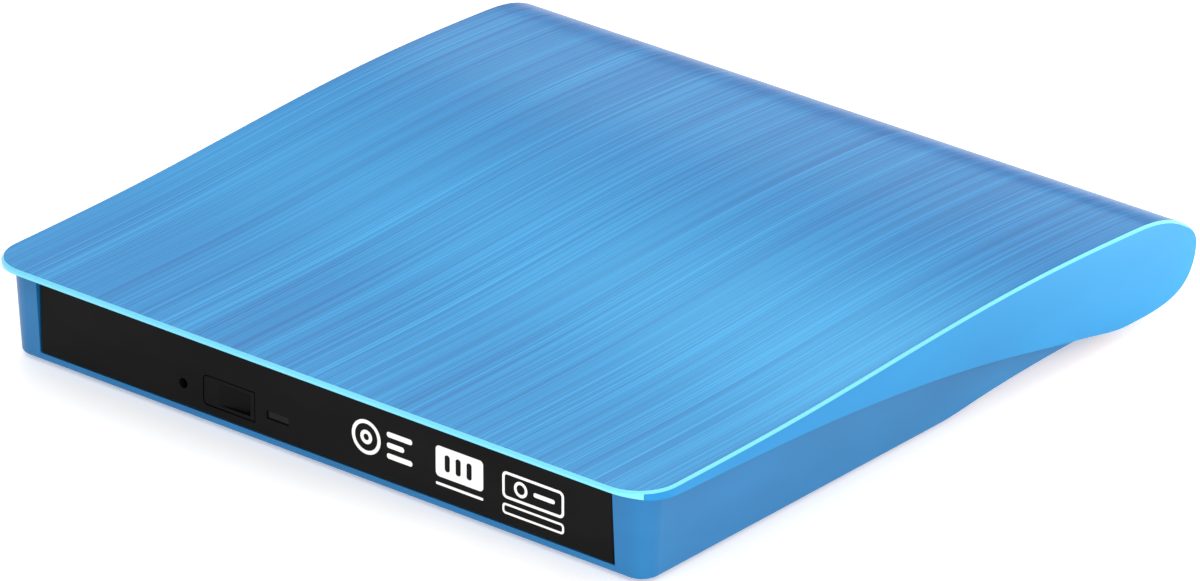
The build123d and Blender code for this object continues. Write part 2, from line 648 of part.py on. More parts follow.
def make_dampers():
    rings = []
    for u, v in damper_places():
        rings.append(mech(post(u, v, SKIRT_Z0 + 0.5, FRAME_Z[0], 2.0) - post(u, v, 0, 20, 0.9)))
    return Compound(children=rings)


def make_damper_screws():
    screws = []
    for u, v in damper_places():
        shape = post(u, v, SKIRT_Z0 + 0.15, SKIRT_Z0 + 0.5, 1.7) + post(u, v, SKIRT_Z0 + 0.5, DECK_Z0, 0.8)
        screws.append(mech(shape))
    return Compound(children=screws)


def make_spindle_motor():
    motor = post(0, 0, SKIRT_Z0 + 0.2, FRAME_Z[0], 10.5)
    motor += post(0, 0, FRAME_Z[0] - 0.1, FRAME_Z[1] + 0.2, 5.0)
    motor -= post(0, 0, SKIRT_Z0 + 0.7, 20, 1.0 + RUN)
    return mech(motor)


def make_turntable():
    table = post(0, 0, DECK_Z0 + 0.4, DECK_Z1, TURNTABLE_R)
    table = fillet(table.edges().filter_by(lambda e: e.center().Z > DECK_Z1 - 0.01), 0.2)
    table += post(0, 0, DECK_Z1, PAD_TOP + 1.75, HUB_R)
    rim = [e for e in table.edges() if abs(e.center().Z - PAD_TOP - 1.75) < 0.01]
    table = chamfer(rim, 0.4)
    for i in range(3):
        table -= Rot(0, 0, 120 * i) * block(4.0, HUB_R + 1, -1.25, 1.25, PAD_TOP, PAD_TOP + 3)
    table -= post(0, 0, PAD_TOP + 1.0, 30, 2.2)
    table += post(0, 0, SKIRT_Z0 + 0.8, DECK_Z0 + 0.5, 1.0)
    return mech(table)


def make_hub_claws():
    claws = []
    for i in range(3):
        claw = block(4.2, HUB_R - 0.05, -1.05, 1.05, PAD_TOP + 0.02, PAD_TOP + 1.45)
        outer = [e for e in claw.edges().filter_by(Axis.Y) if e.center().X > HUB_R - 0.1]
        claws.append(mech(Rot(0, 0, 120 * i) * chamfer(outer, 0.35)))
    return Compound(children=claws)


def make_turntable_pad():
    return mech(post(0, 0, DECK_Z1, PAD_TOP, TURNTABLE_R - 0.5) - post(0, 0, 0, 30, TURNTABLE_R - 3.3))


def make_pickup_sled():
    u = PICKUP_START
    z0 = SKIRT_Z0 + 0.2
    body = block(u - SLED_HALF, u + SLED_HALF, -10.6, 10.6, z0, FRAME_Z[1] + 0.4)
    body -= block(u - 5.0, u + 5.0, -6.0, 6.0, z0 + 1.4, 30)
    for u0, u1 in ((u - 6.6, u - 3.0), (u + 3.0, u + 6.6)):
        body += block(u0, u1, -14.6, -10.0, z0, ROD_Z + 1.2)
    body += block(u - 2.5, u + 2.5, 10.0, 14.6, z0, ROD_Z + 1.2)
    body += block(u - 1.6, u + 1.6, 14.0, SCREW_V + 1.5, z0, ROD_Z + 1.2)
    body -= along_u(-ROD_V, ROD_Z, u - 10, u + 10, ROD_R + RUN)
    body -= along_u(ROD_V, ROD_Z, u - 10, u + 10, ROD_R + RUN)
    body -= along_u(SCREW_V, ROD_Z, u - 10, u + 10, SCREW_R + RUN)
    return mech(body)


def make_lens_holder():
    u = PICKUP_START
    z0 = SKIRT_Z0 + 2.0
    holder = block(u - 4.3, u + 4.3, -5.3, 5.3, z0, DECK_Z1 - 0.75)
    holder = fillet(holder.edges().filter_by(Axis.Z), 1.0)
    return mech(holder - post(u, 0, 0, 30, 2.1))


def make_lens():
    u = PICKUP_START
    lens = post(u, 0, DECK_Z1 - 2.0, DECK_Z1 - 0.55, 2.05)
    rim = [e for e in lens.edges() if abs(e.center().Z - DECK_Z1 + 0.55) < 0.01]
    return mech(fillet(rim, 0.4))


def make_lead_screw():
    screw = along_u(SCREW_V, ROD_Z, ROD_U[0] + 0.2, ROD_U[1] - 1.7, SCREW_R)
    return mech(screw + along_u(SCREW_V, ROD_Z, 11.6, ROD_U[1] - 0.6, 0.5))


def make_stepper_motor():
    z0 = SKIRT_Z0 + 0.15
    motor = block(2.6, 12.2, SCREW_V - 2.1, SCREW_V + 2.1, z0, FRAME_Z[0])
    motor = fillet(motor.edges().filter_by(Axis.X), 0.9)
    return mech(motor - along_u(SCREW_V, ROD_Z, 11.0, 14, 0.5 + RUN))


def make_mechanism_cover():
    """The thin plate in the disc's seat with windows for the turntable and the lens."""
    z0, z1 = RECESS_Z - 0.2, RECESS_Z + 0.1
    plate = mech_cover_blank(0, z0, z1)
    plate -= post(0, 0, 0, 30, TURNTABLE_R + 0.8)
    plate -= block(PICKUP_START - 5.6, LENS_END + 4.8, -6.6, 6.6, 0, 30)
    return mech(plate)


# ---- write every node -------------------------------------------------------
def main():
    cover = make_top_cover()
    save("top_cover", cover)
    save("base_case", make_base_case(cover))
    save("rubber_feet", make_feet())
    save("case_screws", make_case_screws())
    save("foam_pads", make_foam_pads())
    save("usb_board", make_usb_board())
    save("usb_board_screws", make_board_screws())
    save("usb_board_chips", make_board_chips())
    save("usb_socket", make_usb_socket())
    save("usb_tongue", make_usb_tongue())
    save("sata_plug", make_sata_plug())
    save("sata_receptacle", make_sata_receptacle())
    save("drive_top_shell", make_drive_top_shell())
    save("drive_bottom_shell", make_drive_bottom_shell())
    save("drive_screws", make_drive_screws())
    save("connector_board", make_connector_board())
    save("connector_screws", make_connector_screws())
    save("ribbon_cable", make_ribbon_cable())
    save("latch_pin", make_latch_pin())
    for name, sign in (("left", -1), ("right", 1)):
        save(f"rail_guide_{name}", make_rail_guide(sign))
        save(f"rail_{name}", make_rail(sign))
    save("tray", make_tray())
    save("tray_cover", make_tray_cover())
    save("tray_screws", make_tray_screws())
    save("bezel", make_bezel())
    save("eject_button", make_eject_button())
    save("light_pipe", make_light_pipe())
    save("front_board", make_front_board())
    save("eject_switch", make_eject_switch())
    save("led_chip", make_led_chip())
    save("emergency_lever", make_emergency_lever())
    save("solenoid", make_solenoid())
    save("solenoid_core", make_solenoid_core())
    save("latch_pivot", make_latch_pivot())
    save("latch_hook", make_latch_hook())
    save("tray_board", make_tray_board())
    save("tray_board_chips", make_tray_board_chips())
    save("traverse_frame", make_traverse_frame())
    save("guide_rods", make_guide_rods())
    save("dampers", make_dampers())
    save("damper_screws", make_damper_screws())
    save("spindle_motor", make_spindle_motor())
    save("turntable", make_turntable())
    save("hub_claws", make_hub_claws())
    save("turntable_pad", make_turntable_pad())
    save("pickup_sled", make_pickup_sled())
    save("lens_holder", make_lens_holder())
    save("objective_lens", make_lens())
    save("lead_screw", make_lead_screw())
    save("stepper_motor", make_stepper_motor())
    save("mechanism_cover", make_mechanism_cover())


main()
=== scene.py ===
# %% [markdown]
# # An external optical drive, finished in Blender
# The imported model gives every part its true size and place. This lesson keeps those
# parts where they are and adds what a maker would call the finish: brushed lacquer,
# satin mouldings, plated sheet, printed marks, a screw thread, a flat cable, wires.

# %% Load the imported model
import json
import math

import bmesh
import bpy
import numpy as np
from mathutils import Matrix, Vector


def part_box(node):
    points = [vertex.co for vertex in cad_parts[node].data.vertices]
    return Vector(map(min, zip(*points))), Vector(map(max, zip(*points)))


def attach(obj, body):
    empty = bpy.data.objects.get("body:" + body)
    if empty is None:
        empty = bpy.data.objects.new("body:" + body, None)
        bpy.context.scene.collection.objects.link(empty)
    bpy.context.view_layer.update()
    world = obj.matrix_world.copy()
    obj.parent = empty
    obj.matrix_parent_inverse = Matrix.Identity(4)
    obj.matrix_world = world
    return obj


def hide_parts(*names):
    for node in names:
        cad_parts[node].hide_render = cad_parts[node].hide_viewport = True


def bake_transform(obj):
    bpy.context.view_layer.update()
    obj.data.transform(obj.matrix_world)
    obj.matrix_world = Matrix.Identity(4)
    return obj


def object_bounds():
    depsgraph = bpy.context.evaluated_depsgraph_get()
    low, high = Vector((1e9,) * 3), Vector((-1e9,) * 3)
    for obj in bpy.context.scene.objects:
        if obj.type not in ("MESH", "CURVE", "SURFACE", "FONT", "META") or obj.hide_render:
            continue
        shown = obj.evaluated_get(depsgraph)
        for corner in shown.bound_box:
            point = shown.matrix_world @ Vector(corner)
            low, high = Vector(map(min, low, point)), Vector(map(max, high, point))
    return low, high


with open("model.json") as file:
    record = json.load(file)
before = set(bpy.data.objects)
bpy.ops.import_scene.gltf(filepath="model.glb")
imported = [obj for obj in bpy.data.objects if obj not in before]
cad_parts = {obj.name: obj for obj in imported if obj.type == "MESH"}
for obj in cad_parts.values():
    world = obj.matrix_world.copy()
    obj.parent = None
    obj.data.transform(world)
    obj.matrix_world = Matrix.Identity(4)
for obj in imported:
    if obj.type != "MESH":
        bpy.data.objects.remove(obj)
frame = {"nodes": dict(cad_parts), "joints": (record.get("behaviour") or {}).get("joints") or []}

cad_box = [list(corner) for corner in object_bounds()]
MM = 0.001
print("nodes", len(frame["nodes"]), "size", np.subtract(cad_box[1], cad_box[0]).round(4))

# %% [markdown]
# ## Colours
# A maker picks a colour on a screen, so it is written as an sRGB hex value. A renderer
# adds light, so it needs linear numbers: one function turns the first into the second.

# %% One function for colours


def linear(hex_colour):
    """sRGB hex to linear: v/12.92 below 0.04045, else ((v + 0.055)/1.055) to the power 2.4."""
    parts = np.array([int(hex_colour[i:i + 2], 16) for i in (1, 3, 5)]) / 255
    low, high = parts / 12.92, ((parts + 0.055) / 1.055) ** 2.4
    return (*np.where(parts <= 0.04045, low, high).tolist(), 1.0)


print("mid blue in linear light", [round(v, 3) for v in linear("#4A8CD2")])

# %% [markdown]
# ## Nodes and materials
# A material is a small network. One function adds a node with its settings and links,
# and another starts a material with the shader that nearly every finish ends in.

# %% Helpers for materials


def node(material, kind, values=None, links=None, **settings):
    """Add one node; values fill its sockets, links are {socket: (node, output)}."""
    made = material.node_tree.nodes.new(kind)
    for name, value in settings.items():
        setattr(made, name, value)
    for socket, value in (values or {}).items():
        made.inputs[socket].default_value = value
    for socket, (source, output) in (links or {}).items():
        material.node_tree.links.new(source.outputs[output], made.inputs[socket])
    return made


def start(name, colour, **sockets):
    """A new material with its Principled shader; sockets are given by name with _ for a space."""
    material = bpy.data.materials.new(name)
    material.use_nodes = True
    shader = material.node_tree.nodes["Principled BSDF"]
    shader.inputs["Base Color"].default_value = linear(colour)
    for socket, value in sockets.items():
        shader.inputs[socket.replace("_", " ")].default_value = value
    return material, shader


def stretched(material, size_mm):
    """Object coordinates divided by a pattern's size along X, Y and Z, in millimetres."""
    where = node(material, "ShaderNodeTexCoord")
    scale = tuple(1.0 / (s * MM) for s in size_mm)
    return node(material, "ShaderNodeMapping", {"Scale": scale}, {"Vector": (where, "Object")})


def noise(material, size_mm, detail):
    """Cloudy noise whose patches have the given size along X, Y and Z, in millimetres."""
    return node(material, "ShaderNodeTexNoise", {"Scale": 1.0, "Detail": detail},
                {"Vector": (stretched(material, size_mm), "Vector")})


def mixed(material, share, a, a_output, b, b_output):
    """Two numbers in one: (1 - share) of the first and share of the second."""
    return node(material, "ShaderNodeMix", {"Factor": share}, {"A": (a, a_output), "B": (b, b_output)},
                data_type="FLOAT")


def ramp(material, source, output, stops):
    """A colour ramp: stops are (position, hex colour)."""
    made = node(material, "ShaderNodeValToRGB", links={"Fac": (source, output)})
    elements = made.color_ramp.elements
    while len(elements) < len(stops):
        elements.new(0.5)
    for element, (place, colour) in zip(elements, stops):
        element.position = place
        element.color = linear(colour)
    return made


def link(material, source, output, target, socket):
    """Join two nodes that are already there."""
    material.node_tree.links.new(source.outputs[output], target.inputs[socket])


def emboss(material, shader, strength, depth_mm, source, output):
    """Tilt the surface as if the pattern were that deep, without moving any point of it."""
    bump = node(material, "ShaderNodeBump", {"Strength": strength, "Distance": depth_mm * MM},
                {"Height": (source, output)})
    link(material, bump, "Normal", shader, "Normal")


print("material helpers ready")

# %% [markdown]
# ## The camera
# The drive is seen from its front right corner, a little from above, through a long
# lens that keeps its edges nearly parallel. The camera is placed by two angles and a
# distance from a point near the middle of the case; two small shifts then frame it.

# %% Camera
AZIMUTH, ELEVATION = math.radians(39.789), math.radians(25.064)
DISTANCE = 1.90425
LENS = 329.94
SENSOR = 36.0
SHIFT_RIGHT, SHIFT_UP = 2.093 * MM, -2.51 * MM

right = Vector((math.cos(AZIMUTH), math.sin(AZIMUTH), 0))
back = Vector((math.sin(AZIMUTH) * math.cos(ELEVATION), -math.cos(AZIMUTH) * math.cos(ELEVATION),
               math.sin(ELEVATION)))
up = back.cross(right)
centre = (Vector(cad_box[0]) + Vector(cad_box[1])) / 2
aim = Vector((0, -1.25, 10.8)) * MM + right * SHIFT_RIGHT + up * SHIFT_UP
turned = Matrix((right, up, back)).transposed().to_4x4()

camera = bpy.data.objects.new("camera", bpy.data.cameras.new("camera"))
bpy.context.scene.collection.objects.link(camera)
camera.data.lens = LENS
camera.data.sensor_width = SENSOR
camera.data.clip_end = 20.0
camera.matrix_world = Matrix.Translation(aim + back * DISTANCE) @ turned
bpy.context.scene.camera = camera
print("camera at", [round(v, 3) for v in camera.location])

# %% [markdown]
# ## Studio
# A white sweep, a bright surround and soft lamps: lacquer shows its shape mostly
# through what it mirrors, so each lamp has one job. The two behind the case are warm,
# wide and thin; the hairlines mirror them as a pale band across the lid.

# %% Floor, surround and lamps


def quads_of(index):
    """The four corners of every cell in a grid of point numbers, one cell to a row."""
    corners = [index[:-1, :-1], index[:-1, 1:], index[1:, 1:], index[1:, :-1]]
    return np.stack(corners, axis=-1).reshape(-1, 4)


def grid_mesh(name, points, closed_u=False, closed_v=False):
    """Quads over an array of shape (rows, columns, 3); closed directions join up."""
    rows, columns = points.shape[:2]
    index = np.arange(rows * columns).reshape(rows, columns)
    if closed_u:
        index = np.vstack([index, index[:1]])
    if closed_v:
        index = np.hstack([index, index[:, :1]])
    return mesh_from(name, points.reshape(-1, 3), quads_of(index))


def mesh_from(name, points, faces):
    """A smooth-shaded object from an (n, 3) array in metres and rows of point numbers."""
    mesh = bpy.data.meshes.new(name)
    mesh.from_pydata(np.asarray(points).tolist(), [], np.asarray(faces).tolist())
    mesh.polygons.foreach_set("use_smooth", [True] * len(mesh.polygons))
    mesh.update()
    piece = bpy.data.objects.new(name, mesh)
    bpy.context.scene.collection.objects.link(piece)
    return piece


FLOOR_REACH = 3.0
side = np.linspace(-FLOOR_REACH, FLOOR_REACH, 3)
across, along = np.meshgrid(side, side, indexing="xy")
floor = grid_mesh("floor", np.stack([across, along, np.zeros_like(across)], axis=-1))
paper, _ = start("matt white paper sweep", "#F8F8F8", Roughness=0.9, Specular_IOR_Level=0.2,
                 Emission_Color=linear("#FFFFFF"), Emission_Strength=0.3)
floor.data.materials.append(paper)

world = bpy.data.worlds.new("surround")
world.use_nodes = True
world.node_tree.nodes["Background"].inputs["Color"].default_value = linear("#FFFFFF")
world.node_tree.nodes["Background"].inputs["Strength"].default_value = 1.0
bpy.context.scene.world = world
bpy.context.scene.view_settings.view_transform = "Standard"


def lamp(name, target, place, size, power, colour="#FFFFFF"):
    """A soft rectangular lamp; target and place are in metres from the middle of the case."""
    data = bpy.data.lights.new(name, "AREA")
    data.shape = "RECTANGLE"
    data.size, data.size_y = size
    data.energy = power
    data.color = linear(colour)[:3]
    made = bpy.data.objects.new(name, data)
    bpy.context.scene.collection.objects.link(made)
    made.location = centre + Vector(place)
    made.visible_camera = False
    made.rotation_euler = (Vector(target) - Vector(place)).to_track_quat("-Z", "Y").to_euler()
    return made


lamp("sheen on the middle of the lid", (0, 0.005, 0), (-0.523, 0.628, 0.574), (0.5, 0.03), 1.9, "#FFCF92")
lamp("sheen on the lid's rear", (0, 0.005, 0), (-0.60, 0.72, 0.34), (0.5, 0.03), 0.45, "#FFD39A")
lamp("key from the right", (0, 0, 0), (0.9, -0.2, 0.7), (0.6, 0.6), 0.4)
lamp("fill from the front", (0, 0, 0), (-0.3, -1.2, 0.45), (0.9, 0.5), 0.25)
lamp("strip beside the near corner", (0.07, -0.07, 0), (0.30, -0.27, 0.04), (0.04, 0.09), 0.6, "#FFF0E4")
lamp("glow on the roll's cheek", (0.074, 0.066, 0.012), (0.15, 0.140, 0.022), (0.05, 0.05), 0.2, "#FFDCBC")
print("studio ready")

# %% [markdown]
# ## Brushed blue lacquer
# The cover's top is a sheet finished with long hairlines from front to back under a
# tinted clear lacquer. Real hairlines are about 0.05 mm wide; they are drawn 0.2 to
# 1 mm wide here so that they show. Stretched noise makes lines: it is long in Y and
# narrow in X. The same lines tint the colour and tilt the surface a little, and the
# shader's tangent points across them, so a highlight spreads sideways as on real metal.

# %% Brushed lacquer


def brushed_lacquer():
    """Hairlines along Y in a metallic blue lacquer: fine, middling and broad lines together."""
    material, shader = start("brushed blue lacquer on sheet", "#0D6CB4", Metallic=0.55, Roughness=0.2,
                             Anisotropic=0.9, Specular_IOR_Level=0.0)
    fine = noise(material, (0.28, 120, 120), 0.0)
    middling = noise(material, (0.7, 200, 200), 1.0)
    broad = noise(material, (3, 600, 600), 0.0)
    pair = mixed(material, 0.45, fine, "Fac", middling, "Fac")
    lines = mixed(material, 0.2, pair, "Result", broad, "Fac")
    tint = ramp(material, lines, "Result", [(0.3, "#085EA6"), (0.5, "#0F71BA"), (0.7, "#2688D0")])
    link(material, tint, "Color", shader, "Base Color")
    emboss(material, shader, 0.05, 0.02, pair, "Result")
    across_lines = node(material, "ShaderNodeVectorTransform", {"Vector": (1, 0, 0)}, vector_type="VECTOR",
                        convert_from="OBJECT", convert_to="WORLD")
    link(material, across_lines, "Vector", shader, "Tangent")
    return material


BRUSHED = brushed_lacquer()
print(BRUSHED.name)

# %% [markdown]
# ## Moulded plastics
# ABS comes out of the tool with the tool's own surface: a fine spark texture on the
# black front, a nearly smooth satin on the blue case. Noise of a few tenths of a
# millimetre gives the first, a faint slow waviness the second.

# %% Moulded plastic


def moulded(name, colour, roughness, grain_mm, grain, coat=0.0, spread="#000000", shine=0.5):
    """ABS with a spark-eroded grain: a fine bump and a faint change of tone."""
    material, shader = start(name, colour, Roughness=roughness, Specular_IOR_Level=shine,
                             Coat_Weight=coat, Coat_Roughness=0.12)
    speck = node(material, "ShaderNodeTexNoise", {"Scale": 1.0, "Detail": 3.0, "Roughness": 0.7},
                 {"Vector": (stretched(material, (grain_mm,) * 3), "Vector")})
    cloud = noise(material, (35, 35, 12), 2.0)
    tone = ramp(material, cloud, "Fac", [(0.3, colour), (0.75, spread)])
    link(material, tone, "Color", shader, "Base Color")
    rough = node(material, "ShaderNodeMapRange",
                 {"To Min": roughness * 0.85, "To Max": min(1, roughness * 1.15)}, {"Value": (speck, "Fac")})
    link(material, rough, "Result", shader, "Roughness")
    emboss(material, shader, grain, 0.03, speck, "Fac")
    return material


SATIN_BLUE = moulded("satin blue ABS", "#1A80BE", 0.3, 0.25, 0.1, spread="#1878B4", shine=0.2)
# The chamfer and front lip are a paler blue than the satin sides: a polished edge with a painted highlight in
# its colour.
PALE_EDGE_WITH_PAINTED_HIGHLIGHT = moulded("polished blue edge with painted highlight", "#66C9EA", 0.2, 0.2, 0.04, coat=0.3, spread="#6ED0EE")
BASE_BLUE = moulded("satin blue ABS base", "#1F6EA6", 0.36, 0.25, 0.12, spread="#1A6498", shine=0.25)
FRONT_BLACK = moulded("spark-textured black ABS", "#090909", 0.5, 0.18, 0.4, spread="#121212", shine=0.06)
TRAY_BLACK = moulded("matt black tray ABS", "#1A1B1C", 0.55, 0.2, 0.5, spread="#202122")
CONNECTOR_BLACK = moulded("black connector nylon", "#101112", 0.42, 0.15, 0.3, spread="#17181A")
RUBBER = moulded("matt black rubber", "#161616", 0.85, 0.3, 0.8, spread="#202020", shine=0.3)
FOAM = moulded("grey cell foam", "#55585C", 0.95, 0.45, 1.0, spread="#44474B", shine=0.2)
CLEAR_PIPE = moulded("smoked clear light pipe", "#0D0F10", 0.15, 0.4, 0.05, coat=0.05, spread="#141617",
                     shine=0.1)
print("plastics ready")

# %% [markdown]
# ## Plated sheet and turned steel
# Drive shells are pressed from zinc-plated strip: the rolling leaves faint lines and
# the plating a cloudy sheen. Screws, pins and rods are turned, so they only need fine
# uneven gloss.

# %% Metals


def plated(name, colour, roughness, line_mm=(0.5, 14, 14), bump_strength=0.08):
    """Plated steel: rolling lines along Y, and slow clouds in the gloss."""
    material, shader = start(name, colour, Metallic=1.0, Roughness=roughness)
    lines = noise(material, line_mm, 3.0)
    cloud = noise(material, (9, 9, 9), 4.0)
    both = mixed(material, 0.5, lines, "Fac", cloud, "Fac")
    rough = node(material, "ShaderNodeMapRange",
                 {"From Min": 0.3, "From Max": 0.7, "To Min": roughness * 0.7, "To Max": roughness * 1.35},
                 {"Value": (both, "Result")})
    link(material, rough, "Result", shader, "Roughness")
    emboss(material, shader, bump_strength, 0.02, both, "Result")
    return material


SHEET_STEEL = plated("zinc-plated steel sheet", "#B9BCBF", 0.36)
TURNED_STEEL = plated("nickel-plated turned steel", "#C4C3BF", 0.28, (0.2, 0.2, 0.2))
GROUND_ROD = plated("ground bright steel rod", "#D4D6D8", 0.12, (0.15, 3, 3), 0.03)
DIE_CAST = plated("die-cast zinc alloy", "#8E9296", 0.48, (0.3, 0.3, 0.3), 0.35)
GOLD = plated("gold-plated contact", "#E3B65A", 0.22, (0.3, 2, 2), 0.03)
COPPER = plated("enamelled copper wire", "#B8622E", 0.3, (0.1, 0.1, 0.1), 0.2)
print("metals ready")

# %% [markdown]
# ## Circuit boards
# A board is glass-filled epoxy under green solder mask. Copper tracks show through the
# mask as slightly raised, lighter lines that run square to each other.

# %% Solder mask and parts


def solder_mask():
    """Green mask with raised tracks: rows of long cells, broken up by irregular ones."""
    material, shader = start("green solder mask", "#0F4A26", Roughness=0.32, IOR=1.55, Coat_Weight=0.3)
    cells = node(material, "ShaderNodeTexVoronoi", {"Scale": 1.0},
                 {"Vector": (stretched(material, (2.4, 2.4, 50)), "Vector")},
                 feature="DISTANCE_TO_EDGE", distance="EUCLIDEAN")
    bricks = node(material, "ShaderNodeTexBrick",
                  {"Scale": 1.0, "Mortar Size": 0.09, "Brick Width": 2.6, "Row Height": 0.9},
                  {"Vector": (stretched(material, (1.6, 1.6, 50)), "Vector")})
    tracks = mixed(material, 0.35, bricks, "Fac", cells, "Distance")
    tone = ramp(material, tracks, "Result", [(0.15, "#0C3F20"), (0.45, "#1B6A3A")])
    link(material, tone, "Color", shader, "Base Color")
    emboss(material, shader, 0.5, 0.04, tracks, "Result")
    return material


def coated_lens():
    """A small moulded lens whose anti-glare coat drifts between dark blue and violet."""
    material, shader = start("coated glass lens", "#20243C", Roughness=0.04, IOR=1.55, Coat_Weight=1.0,
                             Coat_Roughness=0.02)
    patch = noise(material, (2.5, 2.5, 2.5), 1.0)
    sheen = ramp(material, patch, "Fac", [(0.3, "#27305E"), (0.7, "#5A4FA0")])
    link(material, sheen, "Color", shader, "Base Color")
    return material


SOLDER_MASK = solder_mask()
EPOXY = moulded("moulded epoxy package", "#17181B", 0.45, 0.12, 0.4, spread="#222327")
LENS_GLASS = coated_lens()
print("boards ready")

# %% [markdown]
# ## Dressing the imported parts
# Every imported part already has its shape. Its slot is filled with the finish that the
# real part has; a table from finish to parts keeps that in one place.

# %% Assign the finishes
FINISHES = [
    (BASE_BLUE, ["base_case"]),
    (FRONT_BLACK, ["bezel", "eject_button", "emergency_lever"]),
    (TRAY_BLACK, ["tray", "rail_guide_left", "rail_guide_right", "latch_hook", "hub_claws", "lens_holder",
                  "turntable"]),
    (CONNECTOR_BLACK, ["sata_plug", "sata_receptacle", "usb_tongue", "eject_switch"]),
    (RUBBER, ["rubber_feet", "dampers", "turntable_pad"]),
    (FOAM, ["foam_pads"]),
    (SOLDER_MASK, ["usb_board", "connector_board", "front_board", "tray_board"]),
    (EPOXY, ["usb_board_chips", "tray_board_chips"]),
    (SHEET_STEEL, ["drive_top_shell", "drive_bottom_shell", "tray_cover", "mechanism_cover", "traverse_frame",
                   "solenoid", "stepper_motor", "spindle_motor", "usb_socket"]),
    (TURNED_STEEL, ["case_screws", "drive_screws", "usb_board_screws", "connector_screws", "tray_screws",
                    "damper_screws", "latch_pin", "latch_pivot", "solenoid_core", "rail_left", "rail_right"]),
    (GROUND_ROD, ["guide_rods", "lead_screw"]),
    (DIE_CAST, ["pickup_sled"]),
    (LENS_GLASS, ["objective_lens"]),
    (CLEAR_PIPE, ["light_pipe", "led_chip"]),
]


def dress(piece, *materials):
    """Fill a piece's material slots in order, adding slots that it lacks."""
    slots = piece.data.materials
    for number, material in enumerate(materials):
        if number < len(slots):
            slots[number] = material
        else:
            slots.append(material)


for finish, parts in FINISHES:
    for part in parts:
        dress(frame["nodes"][part], finish)
print("dressed", sum(len(parts) for _, parts in FINISHES), "parts")

# %% [markdown]
# ## Smooth outlines
# The cover is one section carried across the case: flat over the tray, then swelling
# and rolling over at the rear. A few stations fix that outline, and a cubic spline with
# known end directions runs smoothly through them.

# %% A spline through a few stations


def smooth(stations, first, last, count=400):
    """Cubic through the stations, with time as chord length and given unit end directions.

    The speeds m solve h1*m0 + 2*(h0 + h1)*m1 + h0*m2 = 3*(h1*(p1 - p0)/h0 + h0*(p2 - p1)/h1),
    and each span is then a Hermite cubic of its two ends and speeds.
    """
    p = np.asarray(stations, float)
    h = np.linalg.norm(np.diff(p, axis=0), axis=1)
    n = len(p)
    matrix, target = np.eye(n), np.zeros((n, 2))
    target[0], target[-1] = first, last
    inner = np.arange(1, n - 1)
    matrix[inner, inner - 1], matrix[inner, inner + 1] = h[1:], h[:-1]
    matrix[inner, inner] = 2 * (h[:-1] + h[1:])
    slope = np.diff(p, axis=0) / h[:, None]
    target[1:-1] = 3 * (h[1:, None] * slope[:-1] + h[:-1, None] * slope[1:])
    m = np.linalg.solve(matrix, target)
    knots = np.concatenate([[0], np.cumsum(h)])
    t = np.linspace(0, knots[-1], count)
    span = np.clip(np.searchsorted(knots, t, side="right") - 1, 0, n - 2)
    w, size = ((t - knots[span]) / h[span])[:, None], h[span][:, None]
    return ((2 * w**3 - 3 * w**2 + 1) * p[span] + (w**3 - 2 * w**2 + w) * size * m[span]
            + (3 * w**2 - 2 * w**3) * p[span + 1] + (w**3 - w**2) * size * m[span + 1])


DEPTH = (cad_box[1][1] - cad_box[0][1]) / MM
WIDTH = (cad_box[1][0] - cad_box[0][0]) / MM
FRONT = cad_box[0][1]
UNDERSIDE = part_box("base_case")[0][2]
ROLL_END = 131.0
OVER = smooth([(0, 17.85), (40, 18.2), (78, 19.9), (108, 20.5), (132, 19.7), (145.3, 17.0), (DEPTH, 11.2)],
              (1, 0), (0, -1), 3000)
ROLL = smooth([(ROLL_END, 2.2), (140.5, 2.4), (148.0, 5.2), (DEPTH, 11.2)], (1, 0), (0, 1), 1500)
SEAM = smooth([(3.0, 16.2), (11.6, 15.7), (37.7, 14.8), (62, 13.1), (82.7, 10.7), (99, 8.0), (112.5, 5.35),
               (120.3, 3.9), (ROLL_END, 2.2)], (1, -0.1), (1, -0.02), 1500)
print("outline depth", round(DEPTH, 2), "width", round(WIDTH, 2), "mm")

# %% [markdown]
# ## The top cover
# The real cover is one moulding with a brushed sheet on top, a polished chamfer round
# its edge and smooth satin sides that swell into the cheeks of the roll. Each of these
# is a grid: rows follow the outline of the cover, columns cross it. They share their
# edge points, so merging doubles makes one skin, and Solidify gives it a wall. The chamfer
# and the front lip are a paler blue than the sides: a painted highlight on a polished edge.

# %% Grids of the cover
CORNER = 8.0
CHAMFER = 0.45
WALL = 1.3
LIP_LOW = 16.9
COLUMNS = 41
BAND_ROWS = 9


def top(s):
    """Height of the roof s millimetres behind the lip."""
    return np.interp(s, OVER[:, 0], OVER[:, 1])


def low(s):
    """Height of the cover's lower edge: under the lip, along the seam, then the roll."""
    lower = np.vstack([[(0, LIP_LOW)], SEAM, ROLL[1:]])
    return np.interp(s, lower[:, 0], lower[:, 1])


def outline():
    """Left half of the plan, rear to front: points, outward directions and chamfer widths.

    The side is straight, its stations crowding towards the rear as a sine; the corner is
    a quarter circle, centre minus radius times (cos, sin).
    """
    rear = ROLL_END + (DEPTH - ROLL_END) * np.sin(np.linspace(math.pi / 2, 0, 30))
    straight = np.concatenate([rear, np.linspace(ROLL_END, CORNER, 90)[1:]])
    turn = np.linspace(0, math.pi / 2, 17)[1:]
    x = np.concatenate([np.full(len(straight), -WIDTH / 2), -(WIDTH / 2 - CORNER) - CORNER * np.cos(turn)])
    s = np.concatenate([straight, CORNER - CORNER * np.sin(turn)])
    out = np.stack([np.concatenate([np.full(len(straight), -1.0), -np.cos(turn)]),
                    np.concatenate([np.zeros(len(straight)), -np.sin(turn)])], axis=1)
    width = CHAMFER * np.clip((DEPTH - s) / 3, 0, 1)
    return x, s, out, width


def place(x, s, h):
    """Stations in millimetres to points in metres."""
    x, s, h = np.broadcast_arrays(x, s, h)
    return np.stack([x * MM, FRONT + s * MM, UNDERSIDE + h * MM], axis=-1)


